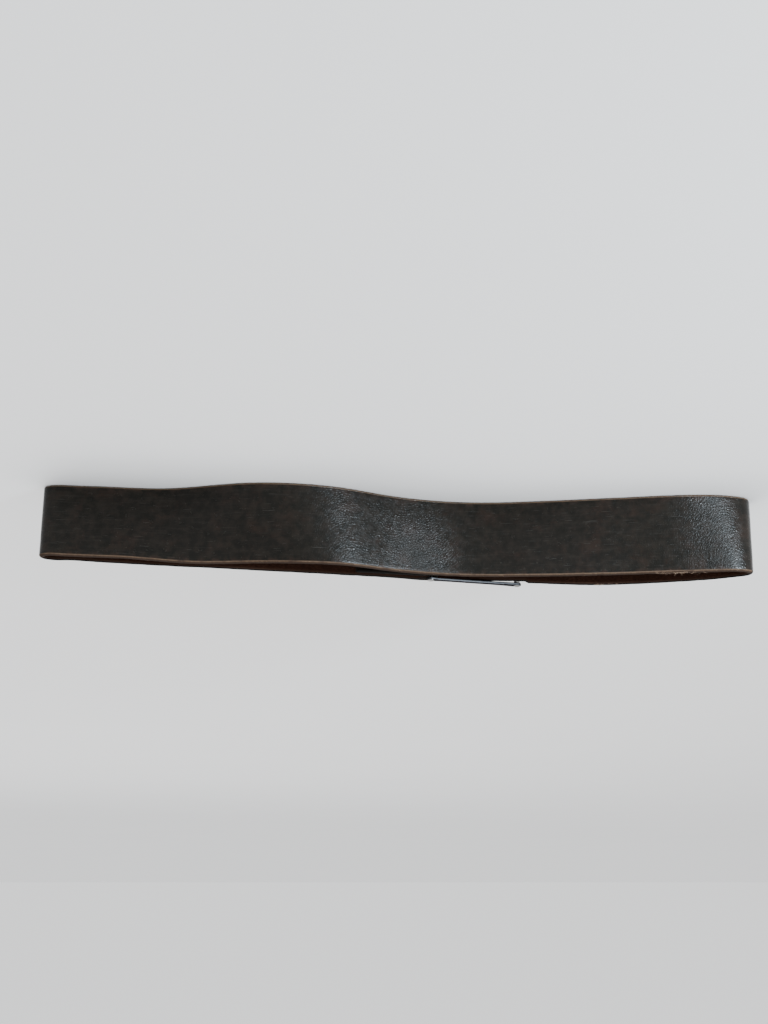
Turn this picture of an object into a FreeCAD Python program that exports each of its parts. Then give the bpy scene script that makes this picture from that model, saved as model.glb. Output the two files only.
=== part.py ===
import FreeCAD, Part
import Sketcher
import math
import os

# Leather strap, buckled into a long flattened loop that stands on its long edge.
# Frame: X along the loop, +Y towards the buckled run, +Z up, origin on the floor
# under the middle of the loop. All lengths are millimetres.

V = FreeCAD.Vector
doc = FreeCAD.newDocument("belt_strop")

# ---------------------------------------------------------------- driving sizes
SIZES = [
    ("strap_width", 45.0, "leather width, standing upright"),
    ("strap_thick", 3.2, "leather thickness"),
    ("edge_ease", 0.8, "chamfer that eases the cut edges"),
    ("billet_low", 2.0, "lower edge of the narrowed end that runs through the frame"),
    ("billet_high", 44.0, "upper edge of the narrowed end"),
    ("run_slope", -0.2, "dY/dX of the straight part of the buckled run"),
    ("run_y", 0.2, "Y of the straight run at run_x"),
    ("run_x", 51.0, "reference station of the straight run"),
    ("fold_pitch", 3.6, "centre distance of the folded end from the run"),
    ("tail_pitch", 4.2, "centre distance of the tail from the run"),
    ("pivot_x", -16.0, "heel bar axis, X"),
    ("pivot_y", 12.2, "heel bar axis, Y"),
    ("bar_radius", 1.5, "heel bar radius"),
    ("bar_play", 0.1, "leather to heel bar clearance, radial"),
    ("frame_low", 0.2, "underside of the lower rail"),
    ("frame_tall", 45.6, "overall height of the frame"),
    ("rail_thick", 1.5, "rail plate thickness"),
    ("rail_span", 52.7, "heel bar axis to front bar axis"),
    ("rail_angle", 165.3, "direction of the rails from the heel bar, degrees"),
    ("rail_half", 1.6, "half the rail width"),
    ("heel_eye", 2.6, "rail eye radius around the heel bar"),
    ("front_radius", 1.8, "front bar radius"),
    ("front_eye", 2.1, "rail eye radius around the front bar"),
    ("tenon_radius", 1.1, "front bar tenon in the rail eye"),
    ("prong_radius", 1.3, "prong stem radius"),
    ("prong_bore", 1.56, "bore of the prong knuckle"),
    ("knuckle_radius", 3.1, "outside radius of the prong knuckle"),
    ("knuckle_tall", 4.4, "height of the prong knuckle"),
    ("mid_height", 23.0, "height of the prong, holes and screws' middle"),
    ("slot_tall", 9.0, "height of the prong slot in the fold"),
    ("slot_radius", 5.4, "reach of the prong slot around the heel bar"),
    ("hole_radius", 2.0, "half width of the prong holes"),
    ("used_hole_x", -21.3, "middle of the hole in use"),
    ("used_hole_long", 8.6, "length of the hole in use, drawn out by wear"),
    ("hole_step", 25.0, "spacing of the holes"),
    ("screw_x", 18.0, "station of the two fold screws"),
    ("screw_gap", 21.0, "height between the two fold screws"),
    ("post_radius", 2.4, "barrel radius of a screw post"),
    ("head_radius", 4.4, "flange radius of posts and caps"),
    ("head_thick", 0.7, "flange thickness"),
    ("stud_radius", 1.3, "threaded stud radius of a cap"),
    ("centre_x", 0.3, "middle of the loop before it is moved onto the origin, X"),
    ("centre_y", -1.26, "middle of the loop before it is moved onto the origin, Y"),
]

sheet = doc.addObject("Spreadsheet::Sheet", "sizes")
for row, (alias, value, note) in enumerate(SIZES, start=1):
    sheet.set("A%d" % row, alias)
    sheet.set("B%d" % row, str(value))
    sheet.set("C%d" % row, note)
    sheet.setAlias("B%d" % row, alias)
doc.recompute()


def size(alias):
    return float(sheet.get(alias))


def bind(obj, **formulas):
    for prop, formula in formulas.items():
        obj.setExpression(prop, formula)


# ---------------------------------------------------------------- strap path
# A station is (x, y) of the middle of the leather at the floor edge and at the top edge.

def upright(x, y):
    return ((x, y), (x, y))


def leaning(x, y_floor, y_top):
    return ((x, y_floor), (x, y_top))


def run_line(x, pitch=0.0):
    tilt = math.cos(math.atan(size("run_slope")))
    return size("run_y") + size("run_slope") * (x - size("run_x")) + pitch / tilt


def on_run(x, pitch=0.0):
    return upright(x, run_line(x, pitch))


def end_turn(floor_centre, floor_radius, top_centre, top_radius, angles):
    # A turn at one end of the loop: one circle at the floor, another at the top edge.
    turn = []
    for angle in angles:
        c = math.cos(math.radians(angle))
        s = math.sin(math.radians(angle))
        low = (floor_centre[0] + floor_radius * c, floor_centre[1] + floor_radius * s)
        high = (top_centre[0] + top_radius * c, top_centre[1] + top_radius * s)
        turn.append((low, high))
    return turn


def folded_end():
    # Free end of the fold, then round the heel bar onto the outer side.
    px = size("pivot_x")
    py = size("pivot_y")
    wrap = size("bar_radius") + size("bar_play") + size("strap_thick") / 2
    stations = [on_run(x, -size("fold_pitch")) for x in (27, 20, 13)]
    stations += [upright(5, 5.9), upright(-3, 7.5), upright(px + 6, py - 3.4)]
    for angle in (270, 240, 210, 180, 150, 120, 90):
        c = math.cos(math.radians(angle))
        s = math.sin(math.radians(angle))
        stations.append(upright(px + wrap * c, py + wrap * s))
    stations += [upright(px + 6, py + 2.7), upright(-3, 12.4), upright(5, 9.9)]
    return stations


def buckled_run():
    # From the fold to the tight end of the loop; it starts to lean past the tail.
    stations = [on_run(x) for x in (13, 20, 27, 38, 51, 71, 91)]
    stations += [leaning(111, -11.0, -12.0), leaning(131, -9.4, -14.4)]
    stations += [leaning(151, -10.9, -17.8), leaning(171, -12.8, -21.4), leaning(184, -13.6, -23.4)]
    stations += end_turn((196.3, -17.4), 4.3, (192.4, -27.6), 4.3, (80, 45, 0, -45, -80))
    return stations


def open_run():
    # The free run on the -Y side: a swell, a hollow beside the buckle, a slack curve.
    stations = [leaning(184, -21.2, -31.4), leaning(171, -19.9, -29.7), leaning(151, -17.2, -26.8)]
    stations += [leaning(131, -16.6, -22.6), leaning(111, -20.9, -19.9), leaning(91, -25.4, -18.9)]
    stations += [leaning(71, -26.2, -19.4), leaning(51, -23.1, -19.8), leaning(31, -15.8, -16.0)]
    stations += [leaning(11, -5.0, -6.2), leaning(-9, 3.0, 1.6), leaning(-29, 7.6, 6.4)]
    stations += [leaning(-49, 8.9, 8.0), leaning(-69, 7.4, 7.4), leaning(-89, 4.9, 6.6)]
    stations += [leaning(-109, 2.0, 5.4), leaning(-129, -0.9, 3.8), leaning(-149, -3.8, 1.2)]
    stations += [leaning(-169, -5.2, -1.4)]
    return stations


def slack_run():
    # Round the wide end and back to the frame on the +Y side.
    turn = end_turn((-189.6, 8.4), 10.7, (-190.6, 3.9), 6.7, (-100, -130, -160, 170, 140, 118))
    stations = turn
    stations += [leaning(-180, 20.9, 14.9), leaning(-166, 24.8, 19.2), leaning(-149, 27.7, 22.9)]
    stations += [leaning(-129, 29.7, 26.2), leaning(-109, 28.6, 27.1), leaning(-89, 25.0, 24.7)]
    return stations


def tail_end():
    # Inside the front bar, over the folded end and along the outer side of the run.
    px = size("pivot_x")
    py = size("pivot_y")
    stations = [upright(-80, 23.3), upright(-68, 21.9), upright(-48, 21.1), upright(-30, 20.4)]
    stations += [upright(px, py + 7.4), upright(px + 6, py + 6.9), upright(-3, 16.8)]
    stations += [upright(5, 14.3)]
    stations += [on_run(x, size("tail_pitch")) for x in (13, 20, 27, 38, 50)]
    return stations


def plan_curves(stations):
    # Floor and top curves with one shared parameter, so that the leather stays ruled.
    marks = [0.0]
    for before, after in zip(stations, stations[1:]):
        low = math.dist(before[0], after[0])
        high = math.dist(before[1], after[1])
        marks.append(marks[-1] + (low + high) / 2)
    curves = []
    for level in (0, 1):
        curve = Part.BSplineCurve()
        points = [V(st[level][0], st[level][1], 0) for st in stations]
        curve.interpolate(Points=points, Parameters=marks)
        curves.append(curve)
    return curves, marks


def side_of(curve, mark):
    # Horizontal unit normal to the right of the direction of travel: the loop's outer side.
    along = curve.tangent(mark)[0]
    return V(-along.y, along.x, 0)


def stations_between(marks, longest):
    fine = []
    for start, end in zip(marks, marks[1:]):
        count = max(1, int(math.ceil((end - start) / longest)))
        fine += [start + (end - start) * i / count for i in range(count)]
    return fine + [marks[-1]]


def edge_curve(curves, marks, offset, rise):
    # One long edge of the leather: offset across its thickness, rise up its slant (0 to 1).
    points = []
    for mark in marks:
        low = curves[0].value(mark)
        high = curves[1].value(mark)
        lean = math.dist((low.x, low.y), (high.x, high.y))
        tall = math.sqrt(max(size("strap_width") ** 2 - lean ** 2, 1.0))
        foot = low + side_of(curves[0], mark) * offset
        head = high + side_of(curves[1], mark) * offset
        point = foot + (head - foot) * rise
        point.z = tall * rise
        points.append(point)
    curve = Part.BSplineCurve()
    curve.interpolate(Points=points, Parameters=marks)
    return curve


def lengths_of(curve, joints):
    # The same long edge as a chain of shorter ones.
    pieces = []
    for start, end in zip(joints, joints[1:]):
        part = curve.copy()
        part.segment(start, end)
        pieces.append(part)
    return pieces


def ruled_face(near, far):
    # Straight lines between two edges that share their knots.
    surface = Part.BSplineSurface()
    poles = [[a, b] for a, b in zip(near.getPoles(), far.getPoles())]
    surface.buildFromPolesMultsKnots(poles, near.getMultiplicities(), [2, 2], near.getKnots(),
                                     [0.0, 1.0], False, False, near.Degree, 1)
    return surface.toShape()


def sole_face(near, far):
    # The lowest face lies flat on the floor.
    starts = Part.LineSegment(near.StartPoint, far.StartPoint).toShape()
    finishes = Part.LineSegment(near.EndPoint, far.EndPoint).toShape()
    edges = [near.toShape(), far.toShape(), starts, finishes]
    return Part.Face(Part.Wire(Part.__sortEdges__(edges)))


def leather_band(curves, marks):
    # Eight long edges round the cross-section, joined by ruled faces over a flat sole.
    half = size("strap_thick") / 2
    ease = size("edge_ease")
    step = ease / size("strap_width")
    profile = [(-half + ease, 0.0), (half - ease, 0.0), (half, step), (half, 1 - step)]
    profile += [(half - ease, 1.0), (-half + ease, 1.0), (-half, 1 - step), (-half, step)]
    joints = marks[:-4:6] + [marks[-1]]
    chains = [lengths_of(edge_curve(curves, marks, offset, rise), joints) for offset, rise in profile]
    faces = []
    for k in range(len(joints) - 1):
        faces.append(sole_face(chains[0][k], chains[1][k]))
        for i in range(1, 8):
            faces.append(ruled_face(chains[i][k], chains[(i + 1) % 8][k]))
    for ring in ([chain[0].StartPoint for chain in chains], [chain[-1].EndPoint for chain in chains]):
        faces.append(Part.Face(Part.makePolygon(ring + [ring[0]])))
    shell = Part.Shell(faces)
    shell.sewShape(1e-5)
    solid = Part.Solid(shell)
    if solid.Volume < 0:
        solid.reverse()
    return solid


def plan_strip(stations, half, low, high):
    # A prism that follows upright stations, used to trim the narrowed end.
    left = []
    right = []
    for i, (foot, head) in enumerate(stations):
        before = stations[max(i - 1, 0)][0]
        after = stations[min(i + 1, len(stations) - 1)][0]
        along = V(after[0] - before[0], after[1] - before[1], 0)
        along.normalize()
        normal = V(-along.y, along.x, 0)
        left.append(V(foot[0], foot[1], low) + normal * half)
        right.append(V(foot[0], foot[1], low) - normal * half)
    ring = left + right[::-1]
    face = Part.Face(Part.makePolygon(ring + [ring[0]]))
    return face.extrude(V(0, 0, high - low))


def trim_tools():
    # The frame is no taller than the strap, so both ends inside it are cut narrower.
    tail = [upright(-74, 22.5)] + tail_end()[1:] + [on_run(60, size("tail_pitch"))]
    fold = [on_run(30, -size("fold_pitch"))] + folded_end()[:14]
    tools = []
    for low, high in ((-5.0, size("billet_low")), (size("billet_high"), 60.0)):
        base = V(size("pivot_x"), size("pivot_y"), low)
        tools.append(Part.makeCylinder(5.3, high - low, base))
    for stations, half in ((tail, 2.05), (fold, 1.75)):
        tools.append(plan_strip(stations, half, -5.0, size("billet_low")))
        tools.append(plan_strip(stations, half, size("billet_high"), 60.0))
    return tools


def oblong(x, y, long, radius, angle, deep):
    # A hole across the leather: two half rounds joined by flats, drawn out along the strap.
    reach = long / 2 - radius
    tool = Part.makeCylinder(radius, deep, V(reach, -deep / 2, 0), V(0, 1, 0))
    tool = tool.fuse(Part.makeCylinder(radius, deep, V(-reach, -deep / 2, 0), V(0, 1, 0)))
    if reach > 0:
        flat = Part.makeBox(2 * reach, deep, 2 * radius, V(-reach, -deep / 2, -radius))
        tool = tool.fuse(flat)
    tool = tool.removeSplitter()
    tool.rotate(V(0, 0, 0), V(0, 0, 1), angle)
    tool.translate(V(x, y, size("mid_height")))
    return tool


def tail_holes():
    slope = math.degrees(math.atan(size("run_slope")))
    used = oblong(size("used_hole_x"), 19.9, size("used_hole_long"), size("hole_radius"), -3, 4.6)
    spare = []
    for count in (1, 2):
        x = size("used_hole_x") + 2 + count * size("hole_step")
        y = 14.3 if count == 1 else run_line(x, size("tail_pitch"))
        spare.append(oblong(x, y, 2 * size("hole_radius") + 0.01, size("hole_radius"), slope, 3.9))
    return [used] + spare


def screw_axis(level):
    # Middle of the two leather layers at the screws, and the direction across them.
    slope = math.atan(size("run_slope"))
    across = V(-math.sin(slope), math.cos(slope), 0)
    x = size("screw_x")
    middle = V(x, run_line(x), 0) - across * (size("fold_pitch") / 2)
    middle.z = size("mid_height") + level * size("screw_gap") / 2
    return middle, across


def leather_stack():
    return size("fold_pitch") + size("strap_thick")


def screw_holes():
    tools = []
    for level in (-1, 1):
        middle, across = screw_axis(level)
        deep = 8.0
        radius = size("post_radius") + 0.1
        tools.append(Part.makeCylinder(radius, deep, middle - across * (deep / 2 + 0.25), across))
        seat = leather_stack() / 2
        for side in (-1, 1):
            face = middle + across * (side * seat)
            tools.append(Part.makeCylinder(size("head_radius") + 0.15, 0.9, face, across * side))
    return tools


def tail_point():
    # Two slanting cuts bring the end of the tail to a blunt point.
    end = on_run(50, size("tail_pitch"))[0]
    slope = math.degrees(math.atan(size("run_slope")))
    tools = []
    for side in (-1, 1):
        ring = [V(-11, -2.05, 22 * side), V(2, -2.05, 22 * side), V(2, -2.05, 8 * side)]
        wedge = Part.Face(Part.makePolygon(ring + [ring[0]])).extrude(V(0, 4.1, 0))
        wedge.rotate(V(0, 0, 0), V(0, 0, 1), slope)
        wedge.translate(V(end[0], end[1], size("mid_height")))
        tools.append(wedge)
    return tools


def build_strap():
    stations = folded_end() + buckled_run() + open_run() + slack_run() + tail_end()
    curves, marks = plan_curves(stations)
    band = leather_band(curves, stations_between(marks, 7.0))
    slot = Part.makeCylinder(size("slot_radius"), size("slot_tall"),
                             V(size("pivot_x"), size("pivot_y"), size("mid_height") - size("slot_tall") / 2))
    tools = trim_tools() + [slot] + tail_holes() + screw_holes() + tail_point()
    shape = band
    for tool in tools:
        shape = shape.cut(tool)
    solids = sorted(shape.Solids, key=lambda one: one.Volume)
    strap = doc.addObject("Part::Feature", "strap")
    strap.Shape = solids[-1]
    return strap


# ---------------------------------------------------------------- buckle pieces

def plane_of(body, role):
    for feature in body.Origin.OriginFeatures:
        if feature.Role == role:
            return feature


def disc_sketch(body, name, radius, height="0"):
    # A circle on the body's own base plane, lifted by an expression.
    sketch = body.newObject("Sketcher::SketchObject", name)
    sketch.AttachmentSupport = [(plane_of(body, "XY_Plane"), "")]
    sketch.MapMode = "FlatFace"
    circle = sketch.addGeometry(Part.Circle(V(0, 0, 0), V(0, 0, 1), 1.0), False)
    sketch.addConstraint(Sketcher.Constraint("Coincident", circle, 3, -1, 1))
    rule = sketch.addConstraint(Sketcher.Constraint("Radius", circle, 1.0))
    sketch.setExpression("Constraints[%d]" % rule, radius)
    sketch.setExpression("AttachmentOffset.Base.z", height)
    return sketch


def pad_disc(body, name, radius, length, height="0"):
    sketch = disc_sketch(body, name + "_sketch", radius, height)
    pad = body.newObject("PartDesign::Pad", name)
    pad.Profile = sketch
    pad.setExpression("Length", length)
    return pad


def bore_disc(body, name, radius, depth, height="0"):
    sketch = disc_sketch(body, name + "_sketch", radius, height)
    pocket = body.newObject("PartDesign::Pocket", name)
    pocket.Profile = sketch
    pocket.Reversed = True
    pocket.setExpression("Length", depth)
    return pocket


def buckle_placement(z):
    turn = FreeCAD.Rotation(V(0, 0, 1), size("rail_angle"))
    return FreeCAD.Placement(V(size("pivot_x"), size("pivot_y"), z), turn)


def build_rail(label, z):
    # A thin side plate: a bar between two round eyes, with a hole in each eye.
    bar = doc.addObject("Part::Box", label + "_bar")
    bind(bar, Length="sizes.rail_span", Width="2 * sizes.rail_half", Height="sizes.rail_thick")
    bar.setExpression("Placement.Base.y", "-sizes.rail_half")
    heel = doc.addObject("Part::Cylinder", label + "_heel_eye")
    bind(heel, Radius="sizes.heel_eye", Height="sizes.rail_thick")
    front = doc.addObject("Part::Cylinder", label + "_front_eye")
    bind(front, Radius="sizes.front_eye", Height="sizes.rail_thick")
    front.setExpression("Placement.Base.x", "sizes.rail_span")
    plate = doc.addObject("Part::MultiFuse", label + "_plate")
    plate.Shapes = [bar, heel, front]
    heel_hole = doc.addObject("Part::Cylinder", label + "_heel_hole")
    bind(heel_hole, Radius="sizes.bar_radius", Height="sizes.rail_thick")
    front_hole = doc.addObject("Part::Cylinder", label + "_front_hole")
    bind(front_hole, Radius="sizes.tenon_radius", Height="sizes.rail_thick")
    front_hole.setExpression("Placement.Base.x", "sizes.rail_span")
    holes = doc.addObject("Part::MultiFuse", label + "_holes")
    holes.Shapes = [heel_hole, front_hole]
    rail = doc.addObject("Part::Cut", label)
    rail.Base = plate
    rail.Tool = holes
    rail.Placement = buckle_placement(z)
    return rail


def build_heel_bar():
    # Plain round pin, flush with the outer faces of both rails.
    body = doc.addObject("PartDesign::Body", "heel_bar")
    pad_disc(body, "heel_pin", "sizes.bar_radius", "sizes.frame_tall")
    body.Placement = buckle_placement(size("frame_low"))
    return body


def build_front_bar():
    # Round bar between the rails with a thinner tenon through each front eye.
    body = doc.addObject("PartDesign::Body", "front_bar")
    pad_disc(body, "front_round", "sizes.front_radius",
             "sizes.frame_tall - 2 * sizes.rail_thick", "sizes.rail_thick")
    pad_disc(body, "front_tenon", "sizes.tenon_radius", "sizes.frame_tall")
    where = buckle_placement(size("frame_low"))
    where.Base = where.Base + where.Rotation.multVec(V(size("rail_span"), 0, 0))
    body.Placement = where
    return body


def prong_spine():
    # From the tip over the front bar, down through the hole in use, into the knuckle.
    lift = size("front_radius") + 0.35 + size("prong_radius")
    span = size("rail_span")
    points = [V(span + 2.3, -lift + 0.1, 0), V(span - 4, -lift - 0.1, 0), V(36, -4.4, 0)]
    points += [V(26, -6.1, 0), V(17, -8.3, 0), V(12.2, -9.2, 0), V(9.3, -8.0, 0)]
    points += [V(6.6, -5.3, 0), V(2.3, -1.1, 0)]
    curve = Part.BSplineCurve()
    curve.interpolate(points)
    return Part.Wire(curve.toShape())


def build_prong():
    # A bent round stem on a knuckle that turns on the heel bar.
    spine = prong_spine()
    edge = spine.Edges[0]
    along = edge.tangentAt(edge.FirstParameter)
    disc = Part.Circle(edge.valueAt(edge.FirstParameter), along, size("prong_radius"))
    stem = spine.makePipeShell([Part.Wire(disc.toShape())], True, False)
    tall = size("knuckle_tall")
    knuckle = Part.makeCylinder(size("knuckle_radius"), tall, V(0, 0, -tall / 2))
    bore = Part.makeCylinder(size("prong_bore"), 2 * tall, V(0, 0, -tall))
    tip_ball = Part.makeSphere(size("prong_radius"), edge.valueAt(edge.FirstParameter))
    prong = doc.addObject("Part::Feature", "prong")
    prong.Shape = knuckle.fuse([stem, tip_ball]).cut(bore)
    prong.Placement = buckle_placement(size("mid_height"))
    return prong


# ---------------------------------------------------------------- fold screws

def build_post(label, level):
    # Flanged tube: its flange sits on the outer side of the run, under the tail.
    body = doc.addObject("PartDesign::Body", label)
    pad_disc(body, label + "_flange", "sizes.head_radius", "sizes.head_thick")
    pad_disc(body, label + "_tube", "sizes.post_radius",
             "sizes.head_thick + sizes.fold_pitch + sizes.strap_thick")
    bore_disc(body, label + "_bore", "sizes.stud_radius + 0.05", "5.6",
              "sizes.head_thick + sizes.fold_pitch + sizes.strap_thick - 5.6")
    middle, across = screw_axis(level)
    turn = FreeCAD.Rotation(V(0, 0, 1), across * -1)
    reach = leather_stack() / 2 + 0.03 + size("head_thick")
    body.Placement = FreeCAD.Placement(middle + across * reach, turn)
    return body


def build_cap(label, level):
    # Flanged screw that enters the post from inside the loop, with a driver slot.
    body = doc.addObject("PartDesign::Body", label)
    pad_disc(body, label + "_flange", "sizes.head_radius", "sizes.head_thick")
    pad_disc(body, label + "_stud", "sizes.stud_radius", "sizes.head_thick + 4.6")
    sketch = body.newObject("Sketcher::SketchObject", label + "_slot_sketch")
    sketch.AttachmentSupport = [(plane_of(body, "XY_Plane"), "")]
    sketch.MapMode = "FlatFace"
    corners = [V(-3, -0.4, 0), V(3, -0.4, 0), V(3, 0.4, 0), V(-3, 0.4, 0)]
    for start, finish in zip(corners, corners[1:] + corners[:1]):
        sketch.addGeometry(Part.LineSegment(start, finish), False)
    for side in range(4):
        sketch.addConstraint(Sketcher.Constraint("Coincident", side, 2, (side + 1) % 4, 1))
    for side in (0, 2):
        sketch.addConstraint(Sketcher.Constraint("Horizontal", side))
        sketch.addConstraint(Sketcher.Constraint("Vertical", side + 1))
    pocket = body.newObject("PartDesign::Pocket", label + "_slot")
    pocket.Profile = sketch
    pocket.Reversed = True
    pocket.Length = 0.35
    middle, across = screw_axis(level)
    turn = FreeCAD.Rotation(V(0, 0, 1), across)
    reach = leather_stack() / 2 + 0.03 + size("head_thick")
    body.Placement = FreeCAD.Placement(middle - across * reach, turn)
    return body


# ---------------------------------------------------------------- build and write

def check_piece(piece, least, most):
    shape = piece.Shape
    if shape.isNull() or not shape.isValid():
        raise RuntimeError(piece.Label + " has no valid shape")
    if len(shape.Solids) != 1:
        raise RuntimeError(piece.Label + " is not one solid: %d" % len(shape.Solids))
    if not least < shape.Volume < most:
        raise RuntimeError(piece.Label + " volume %.2f is out of range" % shape.Volume)


def main():
    top_rail = size("frame_low") + size("frame_tall") - size("rail_thick")
    pieces = [
        (build_strap(), 118000, 145000),
        (build_rail("rail_lower", size("frame_low")), 180, 320),
        (build_rail("rail_upper", top_rail), 180, 320),
        (build_heel_bar(), 300, 340),
        (build_front_bar(), 430, 460),
        (build_prong(), 300, 420),
    ]
    for label, level in (("lower", -1), ("upper", 1)):
        pieces.append((build_post("screw_post_" + label, level), 95, 150))
        pieces.append((build_cap("screw_cap_" + label, level), 50, 75))
    doc.recompute()
    for piece, least, most in pieces:
        piece.Placement.Base = piece.Placement.Base - V(size("centre_x"), size("centre_y"), 0)
    doc.recompute()
    for obj in doc.Objects:
        if "Invalid" in obj.State or "Error" in obj.State:
            raise RuntimeError(obj.Label + " failed: " + str(obj.State))
    os.makedirs("parts", exist_ok=True)
    for piece, least, most in pieces:
        check_piece(piece, least, most)
        piece.Shape.exportStep("parts/%s.step" % piece.Label)
        box = piece.Shape.BoundBox
        print("%-18s %10.1f mm3  x %.1f..%.1f  y %.1f..%.1f  z %.1f..%.1f" % (
            piece.Label, piece.Shape.Volume, box.XMin, box.XMax, box.YMin, box.YMax, box.ZMin, box.ZMax))


main()
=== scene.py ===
import math

import bmesh
import bpy
import numpy as np
from mathutils import Matrix, Vector


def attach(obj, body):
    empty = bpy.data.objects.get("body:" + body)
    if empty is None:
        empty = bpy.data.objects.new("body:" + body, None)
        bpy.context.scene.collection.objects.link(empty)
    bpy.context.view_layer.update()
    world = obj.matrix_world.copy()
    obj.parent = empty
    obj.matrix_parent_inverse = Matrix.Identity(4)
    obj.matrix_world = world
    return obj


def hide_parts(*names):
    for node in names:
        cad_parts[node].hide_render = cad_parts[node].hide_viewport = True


# Leather belt strop standing on its long edge: +X along the loop, +Y towards the
# buckled run, +Z up. The strap's route is part.py's, written here in millimetres.

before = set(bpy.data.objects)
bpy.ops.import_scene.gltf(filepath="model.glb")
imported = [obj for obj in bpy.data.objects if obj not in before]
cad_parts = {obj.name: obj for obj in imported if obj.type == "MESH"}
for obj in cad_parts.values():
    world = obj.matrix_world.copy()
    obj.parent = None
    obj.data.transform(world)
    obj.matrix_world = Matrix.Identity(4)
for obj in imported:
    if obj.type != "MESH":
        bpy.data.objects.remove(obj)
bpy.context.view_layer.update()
MM = 0.001

# ------------------------------------------------------------------ driving sizes (mm)
WIDTH = 45.0                # strap
THICK = 3.2
BILLET_LOW = 2.0            # edges of the narrowed leather inside the frame
BILLET_HIGH = 44.0
RUN_SLOPE = -0.2            # straight stretch that the fold and the tail lie along
RUN_X = 51.0
RUN_Y = 0.2
FOLD_PITCH = 3.6            # middle of the run to the middle of the folded end
TAIL_PITCH = 4.2            # middle of the run to the middle of the tail
CENTRE = (0.3, -1.26)       # plan centre of the loop
PIVOT = (-16.0, 12.2)       # axis of the heel bar
HEEL_RADIUS = 1.5
FRONT_RADIUS = 1.8
WRAP = HEEL_RADIUS + 0.1 + THICK / 2
MID_HEIGHT = 23.0           # prong, holes and middle of the pair of screws
SLOT_RADIUS = 5.4           # prong slot in the fold
SLOT_TALL = 9.0
HOLE_RADIUS = 2.0
RAIL_ANGLE = math.radians(165.3)
RAIL_SPAN = 52.7            # heel bar to front bar
RAIL_THICK = 1.5
FRAME_LOW = 0.2             # underside of the lower rail
FRAME_TALL = 45.6
PRONG_RADIUS = 1.3
PRONG_CLEAR = 0.35          # between the prong and the front bar
SCREW_X = 18.0
SCREW_RISE = 10.5           # each screw above or below the middle
SCREW_BORE = 2.5            # hole for a screw's barrel
HEAD_RADIUS = 4.4           # screw heads


def smooth(value, start, end):
    t = np.clip((np.asarray(value, float) - start) / (end - start), 0.0, 1.0)
    return t * t * (3 - 2 * t)


def row_point(x, y, z):
    """A point of the route's own plan, in metres in the row frame."""
    return Vector(((x - CENTRE[0]) * MM, (y - CENTRE[1]) * MM, z * MM))


# ------------------------------------------------------------------ strap route
def upright(x, y):
    return ((x, y), (x, y))


def leaning(x, y_floor, y_top):
    return ((x, y_floor), (x, y_top))


def run_line(x, pitch=0.0):
    return RUN_Y + RUN_SLOPE * (x - RUN_X) + pitch / math.cos(math.atan(RUN_SLOPE))


def on_run(x, pitch=0.0):
    return upright(x, run_line(x, pitch))


def end_turn(floor_centre, floor_radius, top_centre, top_radius, angles):
    turn = []
    for angle in angles:
        c = math.cos(math.radians(angle))
        s = math.sin(math.radians(angle))
        turn.append(((floor_centre[0] + floor_radius * c, floor_centre[1] + floor_radius * s),
                     (top_centre[0] + top_radius * c, top_centre[1] + top_radius * s)))
    return turn


def folded_end():
    px, py = PIVOT
    route = [on_run(x, -FOLD_PITCH) for x in (27, 20, 13)]
    route += [upright(5, 5.9), upright(-3, 7.5), upright(px + 6, py - 3.4)]
    for angle in (270, 240, 210, 180, 150, 120, 90):
        c = math.cos(math.radians(angle))
        s = math.sin(math.radians(angle))
        route.append(upright(px + WRAP * c, py + WRAP * s))
    return route + [upright(px + 6, py + 2.7), upright(-3, 12.4), upright(5, 9.9)]


def buckled_run():
    route = [on_run(x) for x in (13, 20, 27, 38, 51, 71, 91)]
    route += [leaning(111, -11.0, -12.0), leaning(131, -9.4, -14.4)]
    route += [leaning(151, -10.9, -17.8), leaning(171, -12.8, -21.4), leaning(184, -13.6, -23.4)]
    return route + end_turn((196.3, -17.4), 4.3, (192.4, -27.6), 4.3, (80, 45, 0, -45, -80))


def open_run():
    route = [leaning(184, -21.2, -31.4), leaning(171, -19.9, -29.7), leaning(151, -17.2, -26.8)]
    route += [leaning(131, -16.6, -22.6), leaning(111, -20.9, -19.9), leaning(91, -25.4, -18.9)]
    route += [leaning(71, -26.2, -19.4), leaning(51, -23.1, -19.8), leaning(31, -15.8, -16.0)]
    route += [leaning(11, -5.0, -6.2), leaning(-9, 3.0, 1.6), leaning(-29, 7.6, 6.4)]
    route += [leaning(-49, 8.9, 8.0), leaning(-69, 7.4, 7.4), leaning(-89, 4.9, 6.6)]
    route += [leaning(-109, 2.0, 5.4), leaning(-129, -0.9, 3.8), leaning(-149, -3.8, 1.2)]
    return route + [leaning(-169, -5.2, -1.4)]


def slack_run():
    route = end_turn((-189.6, 8.4), 10.7, (-190.6, 3.9), 6.7, (-100, -130, -160, 170, 140, 118))
    route += [leaning(-180, 20.9, 14.9), leaning(-166, 24.8, 19.2), leaning(-149, 27.7, 22.9)]
    return route + [leaning(-129, 29.7, 26.2), leaning(-109, 28.6, 27.1), leaning(-89, 25.0, 24.7)]


def tail_end():
    px, py = PIVOT
    route = [upright(-80, 23.3), upright(-68, 21.9), upright(-48, 21.1), upright(-30, 20.4)]
    route += [upright(px, py + 7.4), upright(px + 6, py + 6.9), upright(-3, 16.8), upright(5, 14.3)]
    return route + [on_run(x, TAIL_PITCH) for x in (13, 20, 27, 38, 50)]


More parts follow.
